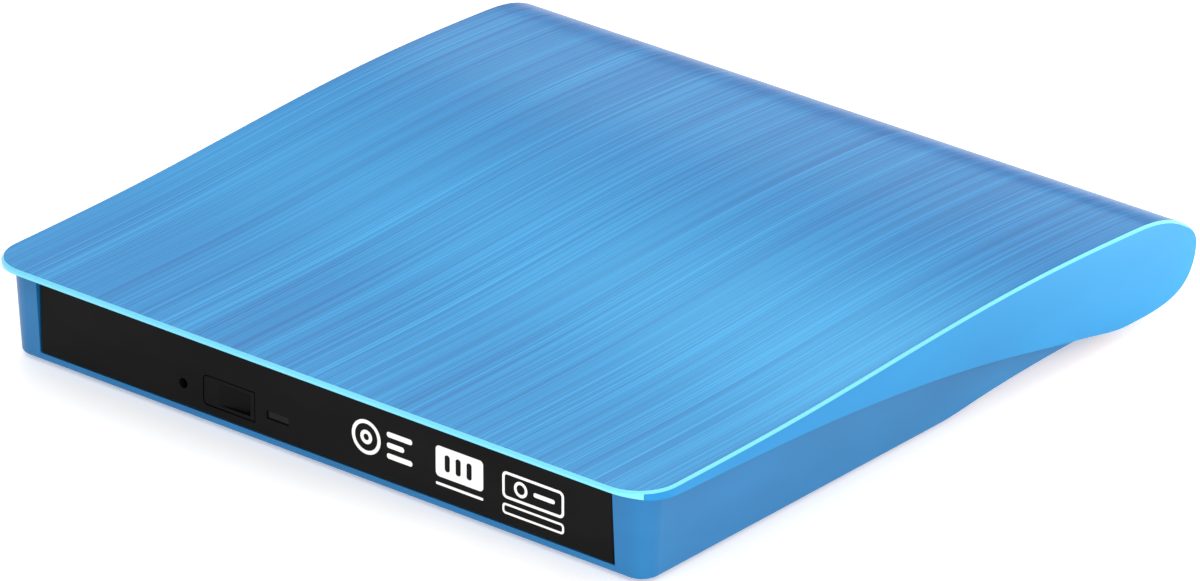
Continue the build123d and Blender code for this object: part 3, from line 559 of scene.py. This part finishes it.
def around(left, front, flip=1):
    """The left half, then the front edge, then the left half back again, times flip."""
    return np.concatenate([left, np.broadcast_to(front, COLUMNS - 2), flip * left[::-1]])


def cover_grids(step=0.02, steepest=-50, rear_margin=0.5):
    """Roof, chamfer, side and roll underside as four point grids.

    The chamfer's lower edge goes out by its width along the roof's slope and down by its
    width square to it; at the very rear, where the roof stands upright, the slope is fixed.
    """
    x, s, out, width = outline()
    inner_x, inner_s = x - width * out[:, 0], s - width * out[:, 1]
    u = np.linspace(-1, 1, COLUMNS)
    roof = place(-inner_x[:, None] * u, inner_s[:, None], top(inner_s)[:, None])
    front_x = u[1:-1] * (WIDTH / 2 - CORNER)
    loop_x, loop_s, loop_w = around(x, front_x, -1), around(s, 0), around(width, CHAMFER)
    loop_in_x, loop_in_s = around(inner_x, front_x, -1), around(inner_s, CHAMFER)
    slope = (top(loop_s + step) - top(loop_s - step)) / (2 * step)
    slope = np.where(loop_s > DEPTH - rear_margin, steepest, slope)
    norm = np.sqrt(1 + slope**2)
    edge_s, edge_h = loop_s + loop_w * slope / norm, top(loop_s) - loop_w / norm
    upper, lower = place(loop_in_x, loop_in_s, top(loop_in_s)), place(loop_x, edge_s, edge_h)
    foot = place(loop_x, loop_s, low(loop_s))
    chamfer = np.stack([upper, lower], axis=1)
    share = np.linspace(0, 1, BAND_ROWS)[None, :, None]
    band = lower[:, None] * (1 - share) + foot[:, None] * share
    rolled = s >= ROLL_END - 1e-6
    under = place(u * WIDTH / 2, s[rolled][:, None], low(s[rolled])[:, None])
    return roof, chamfer, band, under


print("rows along the cover", len(outline()[0]))

# %% [markdown]
# ## From grids to one skin
# Several grids become one mesh by stacking their points and shifting their face
# numbers. Doubles merge, normals are turned outwards, and only then does the skin get
# its thickness.

# %% Join grids, cut the port and thicken


def join_grids(name, grids, finishes):
    """One object from several open grids, each with its own finish number."""
    points, faces, marks, offset = [], [], [], 0
    for grid, finish in zip(grids, finishes):
        rows, columns = grid.shape[:2]
        index = np.arange(rows * columns).reshape(rows, columns) + offset
        quads = quads_of(index)
        points.append(grid.reshape(-1, 3))
        faces.append(quads)
        marks.append(np.broadcast_to(finish, len(quads)) if np.ndim(finish) == 0 else finish)
        offset += rows * columns
    piece = mesh_from(name, np.concatenate(points), np.concatenate(faces))
    piece.data.polygons.foreach_set("material_index", np.concatenate(marks).astype(np.int32))
    return piece


def merge(piece, upwards=False):
    """Merge doubled points, drop collapsed faces and turn the normals outwards."""
    work = bmesh.new()
    work.from_mesh(piece.data)
    bmesh.ops.remove_doubles(work, verts=work.verts, dist=2e-6)
    bmesh.ops.dissolve_degenerate(work, edges=work.edges, dist=1e-7)
    bmesh.ops.recalc_face_normals(work, faces=work.faces)
    highest = max(work.faces, key=lambda face: face.calc_center_median().z)
    if upwards and highest.normal.z < 0:
        bmesh.ops.reverse_faces(work, faces=work.faces)
    work.to_mesh(piece.data)
    work.free()
    return piece


def bake(piece, sharp_degrees=30):
    """Apply the modifiers, so the finished mesh can be measured and cut."""
    bpy.context.view_layer.update()
    done = bpy.data.meshes.new_from_object(piece.evaluated_get(bpy.context.evaluated_depsgraph_get()))
    piece.modifiers.clear()
    piece.data = done
    done.polygons.foreach_set("use_smooth", [True] * len(done.polygons))
    done.set_sharp_from_angle(angle=math.radians(sharp_degrees))
    return piece


def capped_outline(points, depths, scales):
    """A flat outline carried through depth: rows shrink to a point at both ends.

    Row k is the outline scaled about its middle by scales[k] at depth depths[k].
    """
    middle = points.mean(axis=0)
    flat = middle + np.asarray(scales)[:, None, None] * (points - middle)
    deep = np.broadcast_to(np.asarray(depths)[:, None], flat.shape[:2])
    return np.stack([flat[..., 0], deep, flat[..., 1]], axis=-1)


def rounded_box(x0, x1, z0, z1, radius, count=8):
    """A rounded rectangle's outline in X and Z: four quarter circles about its corners."""
    turn = np.linspace(0, math.pi / 2, count)
    arcs = []
    corners = [(x1, z1, 1, 1), (x0, z1, -1, 1), (x0, z0, -1, -1), (x1, z0, 1, -1)]
    for quarter, (x, z, right_or_left, up_or_down) in enumerate(corners):
        angle = turn + quarter * math.pi / 2
        arcs.append(np.stack([x - right_or_left * radius + radius * np.cos(angle),
                              z - up_or_down * radius + radius * np.sin(angle)], axis=1))
    return np.concatenate(arcs)


def plate(name, points, y0, y1):
    """A closed flat plate with the given outline in X and Z, from y0 to y1, in metres."""
    grid = capped_outline(points, [y0, y0, y1, y1], [0, 1, 1, 0])
    piece = grid_mesh(name, grid, closed_v=True)
    merge(piece)
    piece.data.set_sharp_from_angle(angle=math.radians(30))
    return piece


PORT_GAP = 0.15 * MM
PORT_RADIUS = 1.5 * MM
CUT_IN, CUT_OUT = 3 * MM, 2 * MM

roof, chamfer, band, under = cover_grids()
steps = np.abs(np.diff(band[:, 0], axis=0))
across_front = np.repeat(steps[:, 0] > steps[:, 1], BAND_ROWS - 1)
# Finish 1, the chamfer and the front lip, carries the painted highlight in its paler blue.
cover = join_grids("cover_skin", [roof, chamfer, band, under], [0, 1, np.where(across_front, 1, 2), 2])
merge(cover, upwards=True)
wall = cover.modifiers.new("wall", "SOLIDIFY")
wall.thickness, wall.offset, wall.use_even_offset = WALL * MM, -1, True
port_low, port_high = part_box("usb_socket")
port_outline = rounded_box(port_low[0] - PORT_GAP, port_high[0] + PORT_GAP,
                           port_low[2] - PORT_GAP, port_high[2] + PORT_GAP, PORT_RADIUS)
cutter = plate("port_cutter", port_outline, port_low[1] + CUT_IN, cad_box[1][1] + CUT_OUT)
hole = cover.modifiers.new("port", "BOOLEAN")
hole.object, hole.operation, hole.solver = cutter, "DIFFERENCE", "EXACT"
dress(cover, BRUSHED, PALE_EDGE_WITH_PAINTED_HIGHLIGHT, SATIN_BLUE)
bake(cover, 25)
bpy.data.objects.remove(cutter)
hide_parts("top_cover")
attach(cover, "case")
print("cover faces", len(cover.data.polygons), "polished faces of the lip", int(across_front.sum()))

# %% [markdown]
# ## Printed marks
# The front carries three small white pad-printed signs, drawn here as plain shapes: a
# disc with three bars, a tile with three slots over a line, and a frame with a ring and
# a bar over a label. Ink lies a few hundredths of a millimetre proud of the plastic, so
# each mark is a thin plate that starts just inside the bezel.

# %% Ink and marks
INK = moulded("white pad-printed ink", "#EDEDED", 0.6, 0.15, 0.15, spread="#E2E2E2")
INK_PROUD = 0.04 * MM
INK_ROOT = 0.02 * MM
bezel_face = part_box("bezel")[0][1]


def tile(x0, x1, h0, h1, radius, count=8):
    """A rounded tile's outline on the front; millimetres, heights above the base's underside."""
    return rounded_box(x0 * MM, x1 * MM, UNDERSIDE + h0 * MM, UNDERSIDE + h1 * MM, radius * MM, count)


def circle(x, h, radius, count=48):
    """A circle about a point of the front: millimetres in, metres out."""
    turn = np.linspace(0, 2 * math.pi, count, endpoint=False)
    return np.stack([(x + radius * np.cos(turn)) * MM, UNDERSIDE + (h + radius * np.sin(turn)) * MM], axis=1)


def printed(piece, finish):
    """Ink a piece and let it travel with the tray."""
    dress(piece, finish)
    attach(piece, "tray")
    return piece


def mark(name, outline_points, finish=INK, lift=1):
    """A printed tile, lift times as proud as one layer of ink."""
    piece = plate(name, outline_points, bezel_face - INK_PROUD * lift, bezel_face + INK_ROOT)
    return printed(piece, finish)


def mark_ring(name, outer, inner):
    """A printed ring between two closed outlines: a four-sided section carried round."""
    y0, y1 = bezel_face - INK_PROUD, bezel_face + INK_ROOT
    loops = [(outer, y1), (outer, y0), (inner, y0), (inner, y1)]
    grid = np.stack([np.stack([loop[:, 0], np.full(len(loop), y), loop[:, 1]], axis=1) for loop, y in loops])
    piece = grid_mesh(name, grid, closed_u=True, closed_v=True)
    merge(piece)
    piece.data.set_sharp_from_angle(angle=math.radians(30))
    return printed(piece, INK)


DISC = (10.2, 8.4)
mark_ring("mark_disc_rim", circle(*DISC, 3.2), circle(*DISC, 2.5))
mark_ring("mark_disc_hub", circle(*DISC, 1.3), circle(*DISC, 0.6))
for row, (end, height) in enumerate([(20.4, 10.4), (18.6, 8.4), (20.4, 6.4)]):
    mark(f"mark_bar_{row}", tile(14.8, end, height - 0.5, height + 0.5, 0.45))

TILE = (25.6, 36.0)
mark("mark_tile", tile(*TILE, 6.1, 11.8, 0.8))
for column in range(3):
    slot_x = 27.6 + 2.4 * column
    mark(f"mark_tile_slot_{column}", tile(slot_x, slot_x + 1.1, 7.4, 10.5, 0.5), FRONT_BLACK, 1.6)
mark("mark_tile_line", tile(*TILE, 4.5, 5.0, 0.24))

FRAME_RING = (44.2, 9.1)
mark_ring("mark_frame", tile(40.2, 53.6, 6.6, 11.6, 1.0, 12), tile(40.7, 53.1, 7.1, 11.1, 0.6, 12))
mark_ring("mark_frame_ring", circle(*FRAME_RING, 1.45), circle(*FRAME_RING, 0.9))
mark("mark_frame_bar", tile(47.0, 51.6, 8.7, 9.5, 0.38))
mark_ring("mark_label", tile(40.2, 53.6, 3.7, 5.7, 0.7, 12), tile(40.6, 53.2, 4.1, 5.3, 0.4, 12))
print("front marks printed")

# %% [markdown]
# ## The lead screw
# The pickup is drawn along by a screw with a 3 mm lead. Its thread is one formula on a
# tube: the radius dips where the angle and the distance along the screw agree.

# %% Lead screw thread
turning = next(j for j in frame["joints"] if j["name"] == "screw_turn")
axis_point, axis_way = Vector(turning["pos_m"]), Vector(turning["axis"]).normalized()
FRONT_JOURNAL, REAR_JOURNAL = 2.1 * MM, 1.1 * MM
JOURNAL_RADII = np.array([[0], [0.5], [0.5], [0.6]]) * MM


def screw_thread(lead=3.0 * MM, starts=3, crest=0.84 * MM, depth=0.2 * MM):
    """Radius = crest - depth * clipped cosine of (starts * angle - 2 pi * starts * distance / lead).

    The ends step down to half-millimetre journals, and close in a point.
    """
    corners = np.array([v.co for v in frame["nodes"]["lead_screw"].data.vertices])
    reach = (corners - np.array(axis_point)) @ np.array(axis_way)
    begin, end = reach.min(), reach.max()
    body0, body1 = begin + FRONT_JOURNAL, end - REAR_JOURNAL
    body = np.linspace(body0, body1, 480)
    u = np.concatenate([[begin, begin, body0, body0], body, [body1, body1, end, end]])
    angle = np.linspace(0, 2 * math.pi, 24, endpoint=False)
    wave = np.cos(starts * (angle[None, :] - 2 * math.pi * u[:, None] / lead))
    radius = crest - depth * np.clip(1.6 * wave, 0, 1)
    radius[:4], radius[-4:] = JOURNAL_RADII, JOURNAL_RADII[::-1]
    sideways = np.array(axis_way.cross(Vector((0, 0, 1))))
    ring = np.cos(angle)[:, None] * sideways + np.sin(angle)[:, None] * np.array([0, 0, 1.0])
    return np.array(axis_point) + u[:, None, None] * np.array(axis_way) + radius[..., None] * ring[None]


thread = grid_mesh("lead_screw_thread", screw_thread(), closed_v=True)
merge(thread)
dress(thread, GROUND_ROD)
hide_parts("lead_screw")
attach(thread, "screw")
print("thread faces", len(thread.data.polygons))

# %% [markdown]
# ## The flat cable
# A flat cable joins the moving tray to the fixed connector board. It lies folded under
# the tray and unrolls as the tray leaves. Here it is one folded strip, attached to neither
# the case nor the tray, with a short upright tail that stays with the case.

# %% Flat cable


def cable_film():
    """White polyester film with grey tinned tracks half a millimetre wide, side by side in X."""
    material, shader = start("white film flat cable", "#DADCDD", Roughness=0.35, IOR=1.57, Coat_Weight=0.3)
    tracks = node(material, "ShaderNodeTexWave", {"Scale": 1.0, "Distortion": 0.0},
                  {"Vector": (stretched(material, (6.4, 500, 500)), "Vector")}, bands_direction="X")
    tone = ramp(material, tracks, "Fac", [(0.35, "#E4E5E4"), (0.6, "#A9ADB0")])
    link(material, tone, "Color", shader, "Base Color")
    emboss(material, shader, 0.3, 0.03, tracks, "Fac")
    return material


def strip(name, path, x0, x1, thick):
    """A thin strip with a centre line in Y and Z: offset both ways along the line's normal."""
    path = np.asarray(path)
    way = np.gradient(path, axis=0)
    way /= np.linalg.norm(way, axis=1)[:, None]
    normal = np.stack([-way[:, 1], way[:, 0]], axis=1) * thick / 2
    loop = np.concatenate([path + normal, (path - normal)[::-1]])
    x = np.linspace(x0, x1, 9)
    shape = (len(x), len(loop))
    side_walls = np.stack([np.broadcast_to(x[:, None], shape), np.broadcast_to(loop[:, 0], shape),
                           np.broadcast_to(loop[:, 1], shape)], axis=-1)
    middle = np.concatenate([path, path[::-1]])
    caps = side_walls[[0, -1]].copy()
    caps[..., 1], caps[..., 2] = middle[:, 0], middle[:, 1]
    piece = grid_mesh(name, np.concatenate([caps[:1], side_walls, caps[1:]]), closed_v=True)
    return merge(piece)


FILM = cable_film()
FILM_THICK = 0.1 * MM
LAYER_RISE = 0.35 * MM
BEND_ROOM = 0.2 * MM
UPPER_RUN = 51.5 * MM
cable_low, cable_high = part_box("ribbon_cable")
floor_z, upper_z = cable_low[2] + FILM_THICK / 2, cable_low[2] + LAYER_RISE
fold_turn = np.linspace(-math.pi / 2, -3 * math.pi / 2, 13)
fold_radius = (upper_z - floor_z) / 2
fold_y = cable_low[1] + fold_radius + FILM_THICK / 2
fold = np.stack([fold_y + fold_radius * np.cos(fold_turn),
                 floor_z + fold_radius + fold_radius * np.sin(fold_turn)], axis=1)
lower_run = np.stack([np.linspace(cable_high[1] - BEND_ROOM, fold_y, 24), np.full(24, floor_z)], axis=1)
upper_run = np.stack([np.linspace(fold_y, fold_y + UPPER_RUN, 24), np.full(24, upper_z)], axis=1)
cable_path = np.concatenate([lower_run[:-1], fold, upper_run[1:]])
flat_cable = strip("flat_cable", cable_path, cable_low[0], cable_high[0], FILM_THICK)
dress(flat_cable, FILM)
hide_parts("ribbon_cable")
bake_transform(flat_cable)

tail_path = np.stack([np.full(8, cable_high[1] - FILM_THICK / 2),
                      np.linspace(floor_z, cable_high[2], 8)], axis=1)
cable_tail = strip("flat_cable_tail", tail_path, cable_low[0], cable_high[0], FILM_THICK)
dress(cable_tail, FILM)
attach(cable_tail, "case")
print("flat cable runs", round((upper_run[-1, 0] - fold_y) / MM, 1), "mm back over the fold")

# %% [markdown]
# ## Focus coil and contacts
# The lens is held in a block with a flat copper coil round it, and the port's tongue
# carries a row of gold contacts. Both are small closed grids.

# %% Coil and contacts


def coil(name, node_name, way, finish, grow=0.25 * MM, turns=5, foot=0.3 * MM, height=0.8 * MM):
    """A loop round a part that is square to way; it bulges by |sin| once for each layer of wire."""
    corners = np.array([v.co for v in frame["nodes"][node_name].data.vertices])
    across_way = np.array([-way[1], way[0], 0])
    centre_point = (corners.min(0) + corners.max(0)) / 2
    a = (corners - centre_point) @ way
    b = (corners - centre_point) @ across_way
    flat = rounded_box(a.min(), a.max(), b.min(), b.max(), 1.0 * MM, 10)
    z0 = corners[:, 2].min() + foot
    t = np.linspace(0, 1, turns * 6 + 1)
    bulge = grow * (0.55 + 0.45 * np.abs(np.sin(turns * math.pi * t)))
    heights = np.concatenate([[z0], z0 + height * t, [z0 + height]])
    widths = np.concatenate([[0], bulge, [0]])
    outward = flat / np.linalg.norm(flat, axis=1)[:, None]
    loops = flat[None] + widths[:, None, None] * outward[None]
    points = centre_point + loops[..., :1] * way + loops[..., 1:] * across_way
    points[..., 2] = heights[:, None]
    piece = grid_mesh(name, points, closed_u=True, closed_v=True)
    merge(piece)
    dress(piece, finish)
    return piece


pickup_way = np.array(next(j for j in frame["joints"] if j["name"] == "pickup_slide")["axis"])
focus_coil = coil("focus_coil", "lens_holder", pickup_way, COPPER)
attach(focus_coil, "lens")

CONTACTS = 12
FIRST_CONTACT, CONTACT_PITCH, CONTACT_WIDTH = 1.72 * MM, 0.5 * MM, 0.26 * MM
HALF_TONGUE = 0.38 * MM
CONTACT_BACK, CONTACT_FRONT = 3.4 * MM, 0.3 * MM
tongue_low, tongue_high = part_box("usb_tongue")
tongue_mid = (tongue_low[2] + tongue_high[2]) / 2
for number in range(CONTACTS):
    x = port_low[0] + FIRST_CONTACT + CONTACT_PITCH * number
    points = rounded_box(x, x + CONTACT_WIDTH, tongue_mid - HALF_TONGUE, tongue_mid + HALF_TONGUE,
                         0.05 * MM, 3)
    contact = plate(f"port_contact_{number}", points, tongue_high[1] - CONTACT_BACK,
                    tongue_high[1] - CONTACT_FRONT)
    dress(contact, GOLD)
    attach(contact, "case")
print("one coil and", CONTACTS, "contacts")

# %% [markdown]
# ## The end
# The finished model must stay inside the imported box.

# %% The last call
print("scene finished")
